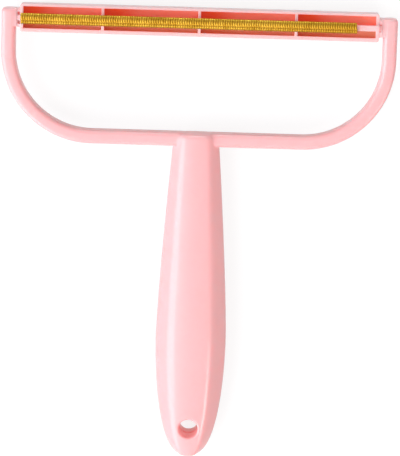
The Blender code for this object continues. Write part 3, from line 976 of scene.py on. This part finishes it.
def neck_bodies():
    bm = bmesh.new()
    for side in (-1, 1):
        stations = [(head_half_length - HEAD_END_WALL / 2, NECK_FLARE)]
        for turn in quarter_turn(5):
            x = head_half_length + NECK_FLARE * math.sin(turn)
            stations.append((x, NECK_FLARE * (1 - math.sin(turn)) ** 2))
        stations.append((neck_end, 0.0))
        sections = []
        for x, flare in stations:
            outline = rounded_rectangle(NECK_WIDTH + 2 * flare, NECK_DEPTH, NECK_CORNER_RADIUS)
            sections.append([(side * x, y, z) for y, z in outline])
        loft(bm, sections)
    return mesh_object("bar_necks", bm)


def neck_pockets():
    """Pockets beside the tongue at the left end of the bar, thin slots at the right end."""
    bm = bmesh.new()
    start = neck_end - NECK_COLLAR
    left = (-1, NECK_POCKET_WIDTH, NECK_POCKET_DEPTH)
    right = (1, NECK_SLOT, NECK_SLOT)
    near = SPINE_THICKNESS / 2
    signs = (-1, 1)
    for (side, width, depth), beside, face in itertools.product((left, right), signs, signs):
        x0, x1 = sorted((side * (start - NECK_POCKET_LENGTH), side * start))
        y0, y1 = sorted((beside * near, beside * (near + width)))
        z0, z1 = sorted((face * (NECK_DEPTH / 2 - depth), face * NECK_DEPTH))
        box_mesh(bm, (x0, y0, z0), (x1, y1, z1))
    return mesh_object("bar_neck_pockets", bm)


def tongue_bodies():
    xs = (head_half_length, arm_inner_x + TENON_REACH)
    return end_boxes("bar_tenons", xs, SPINE_THICKNESS / 2, TENON_DEPTH / 2)


def mark_mould_edges(obj):
    """Marks all sharp edges for the bevel but those that lie against the pads."""
    bm = opened(obj)
    weight = bm.edges.layers.float.new("bevel_weight_edge")
    at_pads = edges_at(bm, 0, neck_end)
    for edge in bm.edges:
        if edge not in at_pads and edge.calc_face_angle(0.0) > HARD_ANGLE:
            edge[weight] = 1.0
    write_back(bm, obj)


def scraper_bar():
    bar = mesh_object("bar_moulding", bar_bm, bar_pink)
    bar = combined(bar, neck_bodies(), "UNION")
    bar = combined(bar, neck_pockets(), "DIFFERENCE")
    bar = combined(bar, tongue_bodies(), "UNION")
    mark_mould_edges(bar)
    bar.data.transform(Matrix.Translation((0, head_y, seam_z)))
    rounding = bar.modifiers.new("mould_rounds", "BEVEL")
    rounding.width = BAR_ROUND
    rounding.segments = 3
    rounding.limit_method = "WEIGHT"
    return plain_mesh(bar, "bar_moulding")


bar_moulding = scraper_bar()
finish_piece(bar_moulding, "root", bar_pink)
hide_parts("scraper_bar")
print("bar faces:", len(bar_moulding.data.polygons))

# %% [markdown]
# In deep, narrow places light bounces many times between pink walls, and the photograph shows
# them almost red. So each plastic gets a mask of such places, and the red laid there is painted
# shade and painted bounced light, with a faint painted glow for light through the thin walls.
# In the bar it is the compartments: the deeper a point lies below the rim, the redder it is.
# Both faces count, so the mask works on the distance from the middle plane. Each compartment
# is deep red over its first fifth, a painted shadow of its left wall, and pinker after that,
# painted light from the left. The row nearer to the handle is browner, which is painted shade.
# The small pockets in the necks are reddish as well, as painted shade.

# %% Redden the compartments
# Painted shade and bounced light in the compartments; TROUGH_GLOW is a painted glow for light
# through the thin walls
TROUGH_RED = (0.83, 0.11, 0.020, 1)
TROUGH_PINK = (0.93, 0.29, 0.20, 1)
TROUGH_SHADE = (0.46, 0.24, 0.11, 1)
TROUGH_GLOW = (0.12, 0.005, 0.001, 1)
PINKER_ALONG = (0.12, 0.45)
HANDLE_SIDE_SHADE = 0.6
POCKET_RED = 0.35


def place_from(tree, centre):
    """X, Y and Z on the piece, measured from a centre, as they are and without their signs."""
    place = tree.nodes.new("ShaderNodeTexCoord").outputs["Object"]
    inputs = {"Vector": place, "Location": [-c for c in centre]}
    signed = add_node(tree, "ShaderNodeMapping", inputs)
    size = add_node(tree, "ShaderNodeVectorMath", {0: signed}, operation="ABSOLUTE")
    split = [add_node(tree, "ShaderNodeSeparateXYZ", {"Vector": node}) for node in (signed, size)]
    return [node.outputs for node in split]


def paint(material, mask, plain, deep, glow):
    """Lays the deep colour of painted shade and light over the plain one where the mask is 1, with
    a painted glow of its own.
    """
    tree = material.node_tree
    shader = tree.nodes["Principled BSDF"]
    feed(tree, shader.inputs["Base Color"], colour_mix(tree, mask, plain, deep))
    feed(tree, shader.inputs["Emission Color"], colour_mix(tree, mask, THIN_WALL_GLOW, glow))


def deepen_compartments(material, colour):
    tree = material.node_tree
    signed, unsigned = place_from(tree, (0, head_y, seam_z))
    x, y, z = unsigned["X"], unsigned["Y"], unsigned["Z"]

    def inside_wall(value, outer, wall):
        return fading(tree, value, outer - 0.3 * wall, outer - 0.8 * wall)

    compartments = product(
        tree,
        fading(tree, z, HEAD_DEPTH / 2 - 0.2 * MM, WEB_THICKNESS),
        inside_wall(y, head_half_width, HEAD_WALL),
        inside_wall(x, head_half_length, HEAD_END_WALL),
    )
    # Painted shade in the neck pockets beside the tongue
    pocket_y = SPINE_THICKNESS / 2 + NECK_POCKET_WIDTH
    pockets = product(
        tree,
        fading(tree, z, NECK_DEPTH / 2 - 0.1 * MM, NECK_DEPTH / 2 - 0.5 * MM),
        fading(tree, y, pocket_y + 0.2 * MM, pocket_y),
        fading(tree, x, head_half_length, head_half_length + 0.3 * MM),
    )

    # The way along each compartment from its left wall. The first one starts at the end wall.
    shifted = math_node(tree, "ADD", signed["X"], 2 * CROSS_WALL_SPACING)
    from_wall = math_node(tree, "MODULO", shifted, CROSS_WALL_SPACING)
    in_first = math_node(tree, "LESS_THAN", signed["X"], -CROSS_WALL_SPACING)
    late_start = product(tree, in_first, 2 * CROSS_WALL_SPACING - head_half_length)
    from_wall = math_node(tree, "SUBTRACT", from_wall, late_start)
    # Painted shadow of the left wall over the first fifth, painted light from the left after it
    red_to, pink_from = (share * CROSS_WALL_SPACING for share in PINKER_ALONG)
    red = colour_mix(tree, fading(tree, from_wall, red_to, pink_from), TROUGH_RED, TROUGH_PINK)
    # Painted shade on the row nearer to the handle
    handle_side = product(tree, fading(tree, signed["Y"], 0.5 * MM, -0.5 * MM), HANDLE_SIDE_SHADE)
    red = colour_mix(tree, handle_side, red, TROUGH_SHADE)
    mask = math_node(tree, "MAXIMUM", compartments, product(tree, pockets, POCKET_RED))
    paint(material, mask, colour, red, TROUGH_GLOW)


deepen_compartments(bar_pink, bar_colour)
print("bar finish nodes:", len(bar_pink.node_tree.nodes))

# %% [markdown]
# The wall of the hanging hole is the other deep place, painted with shade and bounced light.
# Its red grows below the front rim, turns to salmon behind mid-depth and to a brownish painted
# shade at the rear rim, where no light comes in, and a faint painted glow stands for light
# through the wall. The mask is a soft circle a little wider than the hole.

# %% Redden the hanging hole
# HOLE_RED, HOLE_SALMON and HOLE_SHADE are painted shade and bounced light; HOLE_GLOW is painted
# light
HOLE_RED = (0.90, 0.05, 0.035, 1)
HOLE_SALMON = (0.97, 0.62, 0.58, 1)
HOLE_SHADE = (0.50, 0.17, 0.14, 1)
HOLE_GLOW = (0.11, 0.006, 0.004, 1)
RED_BELOW = (8.0 * MM, 3.0 * MM)
SALMON_BELOW = (0.5 * MM, -3.0 * MM)
SHADE_BELOW = (-5.5 * MM, -7.5 * MM)


def deepen_hole(material, colour):
    tree = material.node_tree
    signed, _ = place_from(tree, (0, hole_y, seam_z))
    from_axis = {0: vector(tree, signed["X"], signed["Y"])}
    radius = add_node(tree, "ShaderNodeVectorMath", from_axis, operation="LENGTH").outputs["Value"]
    bore = HOLE_DIAMETER / 2
    inside = fading(tree, radius, bore + 0.85 * HOLE_FLARE, bore)
    height = signed["Z"]
    red = colour_mix(tree, fading(tree, height, *SALMON_BELOW), HOLE_RED, HOLE_SALMON)
    red = colour_mix(tree, fading(tree, height, *SHADE_BELOW), red, HOLE_SHADE)
    mask = product(tree, inside, fading(tree, height, *RED_BELOW))
    paint(material, mask, colour, red, HOLE_GLOW)


deepen_hole(shell_pink, shell_colour)
print("shell finish nodes:", len(shell_pink.node_tree.nodes))

# %% [markdown]
# The brass strip has the tool's finest detail: about 140 rounded ribs, in two rows with a groove
# between them. Each rib starts at one long edge, climbs to a crest, dips into the groove,
# climbs again and steps sideways by a quarter of the pitch on its way. Geometry Nodes bend
# one rib along that path and set it down at an even pitch.

# %% A node tree for the ribs
STRIP_CROWN = 1.4 * MM
STRIP_SHOULDER = 0.7 * MM
GROOVE_DEPTH = 0.32 * MM
GROOVE_SHIFT = -0.85 * MM
GROOVE_WIDTH = 0.32 * MM
RIB_PITCH = 0.93 * MM
RIB_RELIEF = 0.32 * MM
RIB_REACH = 0.52
RIB_SIDES = 10
RIB_POINTS = 15
HEIGHT_STEPS = 16
STEP_ALONG = (0.35, 0.75)
STRIP_LIP = 0.7 * MM
STRIP_END_GAP = 0.45 * MM
RIB_END_INSET = 0.20 * MM

strip_half_width = (strip_high.y - strip_low.y) / 2
strip_seat_z = spine_half_depth + FIT_GAP
strip_start_x = -head_half_length + STRIP_END_GAP
strip_length = strip_high.x - RIB_PITCH / 4 - strip_start_x


def strip_height(y):
    """Height of a rib's crest line over the seat, from one long edge to the other."""
    half = strip_half_width
    crowned = STRIP_SHOULDER + (STRIP_CROWN - STRIP_SHOULDER) * (1 - abs(y / half) ** 3.2)
    groove = GROOVE_DEPTH * math.exp(-(((y - GROOVE_SHIFT) / GROOVE_WIDTH) ** 2))
    return crowned - groove


def rib_tree():
    tree, given = geometry_tree("rib_rows", "Core", {
        "Start": (0, 0, 0),
        "Count": 140,
        "Pitch": RIB_PITCH,
        "Half Width": strip_half_width - RIB_END_INSET,
        "Tallest": STRIP_CROWN,
        "Relief": RIB_RELIEF,
    })
    pitch, relief = given["Pitch"], given["Relief"]

    # One rib: a line across the strip, bent by a height curve and a sideways step
    half = given["Half Width"]
    ends = {"Start": vector(tree, y=half), "End": vector(tree, y=product(tree, half, -1.0))}
    line = add_node(tree, "GeometryNodeCurvePrimitiveLine", ends)
    points = add_node(tree, "GeometryNodeResampleCurve", {"Curve": line, "Count": RIB_POINTS})
    share = tree.nodes.new("GeometryNodeSplineParameter").outputs["Factor"]
    height = add_node(tree, "ShaderNodeFloatCurve", {"Value": share})
    curve = height.mapping.curves[0]
    shares = spaced(0.0, 1.0, HEIGHT_STEPS)
    for t in shares[1:-1]:
        curve.points.new(t, 0.0)
    for point, t in zip(curve.points, shares):
        point.location = (t, strip_height(strip_half_width * (1 - 2 * t)) / STRIP_CROWN)
    height.mapping.update()
    sideways = product(tree, fading(tree, share, *STEP_ALONG), product(tree, pitch, 0.25))
    lowered = math_node(tree, "SUBTRACT", product(tree, height, given["Tallest"]), relief)
    inputs = {"Geometry": points, "Offset": vector(tree, x=sideways, z=lowered)}
    bent = add_node(tree, "GeometryNodeSetPosition", inputs)
    upright = add_node(tree, "GeometryNodeSetCurveNormal", {"Curve": bent}, mode="Z_UP")

    # Its section: an ellipse as wide as the pitch
    radius = product(tree, pitch, RIB_REACH)
    inputs = {"Resolution": RIB_SIDES, "Radius": radius}
    ring = add_node(tree, "GeometryNodeCurvePrimitiveCircle", inputs)
    squash = vector(tree, 1.0, math_node(tree, "DIVIDE", relief, radius), 1.0)
    section = add_node(tree, "GeometryNodeTransform", {"Geometry": ring, "Scale": squash})
    inputs = {"Curve": upright, "Profile Curve": section, "Fill Caps": True}
    rib = add_node(tree, "GeometryNodeCurveToMesh", inputs)

    # The row of ribs, joined to the core and made real
    spacing = vector(tree, x=pitch)
    inputs = {"Count": given["Count"], "Start Location": given["Start"], "Offset": spacing}
    row = add_node(tree, "GeometryNodeMeshLine", inputs)
    copies = add_node(tree, "GeometryNodeInstanceOnPoints", {"Points": row, "Instance": rib})
    join = add_node(tree, "GeometryNodeJoinGeometry", {"Geometry": copies})
    feed(tree, join.inputs["Geometry"], given["Core"])
    end_tree(tree, join, given["Material"])
    return tree


rib_rows = rib_tree()
print("node tree:", rib_rows.name, "with", len(rib_rows.nodes), "nodes")

# %% [markdown]
# Brass is a metal, so its colour lives in its reflections. The ribs give it light and dark
# bands by themselves. Handling dulls it in patches, so a noise drives the roughness. Together
# with a second, finer one it lets the colour drift between a fresh yellow and a browner tone,
# and the strip is browner towards its right end.

# %% Brass
BRASS = (0.52, 0.303, 0.035, 1)
BRASS_BROWN = (0.36, 0.185, 0.014, 1)


def brass_material():
    material, tree, shader = new_material("strip_brass", {"Metallic": 1.0})
    patches = noise(tree, 1 / (5 * MM), 3.0)
    grain = noise(tree, 1 / (0.8 * MM), 2.0)
    tarnish = fading(tree, product(tree, patches, grain), 0.12, 0.38)
    signed, _ = place_from(tree, (0, head_y, seam_z))
    # A plain gradient along the strip: browner towards its right end
    to_the_right = product(tree, fading(tree, signed["X"], 5 * MM, 60 * MM), 0.8)
    browning = math_node(tree, "MAXIMUM", tarnish, to_the_right)
    feed(tree, shader.inputs["Base Color"], colour_mix(tree, browning, BRASS, BRASS_BROWN))
    polish = {"Value": patches, "From Min": 0.3, "From Max": 0.7, "To Min": 0.34, "To Max": 0.42}
    feed(tree, shader.inputs["Roughness"], add_node(tree, "ShaderNodeMapRange", polish))
    return material


strip_brass = brass_material()


def strip_core(name):
    """The channel under the ribs, which caps the spine with two short lips."""
    half = strip_half_width
    lip = -(FIT_GAP + STRIP_LIP)
    inner = SPINE_THICKNESS / 2 + FIT_GAP
    outline = [(y, strip_height(y) - RIB_RELIEF) for y in spaced(half, -half, 24)]
    outline += [(-half, lip), (-inner, lip), (-inner, 0.0), (inner, 0.0), (inner, lip), (half, lip)]
    ends = (strip_start_x, strip_start_x + strip_length)
    sections = [[(x, y, z) for y, z in outline] for x in ends]
    return mesh_object(name, loft(bmesh.new(), sections), strip_brass)


def brass_strip(name, side):
    core = strip_core(name)
    count = round(strip_length / RIB_PITCH)
    pitch = strip_length / count
    first = (strip_start_x + pitch / 2, 0, 0)
    values = {"Start": first, "Count": count, "Pitch": pitch, "Material": strip_brass}
    apply_tree(core, rib_rows, values)
    strip = plain_mesh(core, name)
    turn = Matrix.Rotation(0 if side > 0 else math.pi, 4, "X")
    onto_bar = Matrix.Translation((0, head_y, seam_z)) @ turn
    strip.data.transform(onto_bar @ Matrix.Translation((0, 0, strip_seat_z)))
    return strip


STRIPS = (("front_ribs", 1, "front_brass_strip"), ("rear_ribs", -1, "rear_brass_strip"))
for name, side, node in STRIPS:
    strip = brass_strip(name, side)
    finish_piece(strip, "root", strip_brass, 50.0)
    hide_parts(node)
    print(strip.name, "faces:", len(strip.data.polygons))
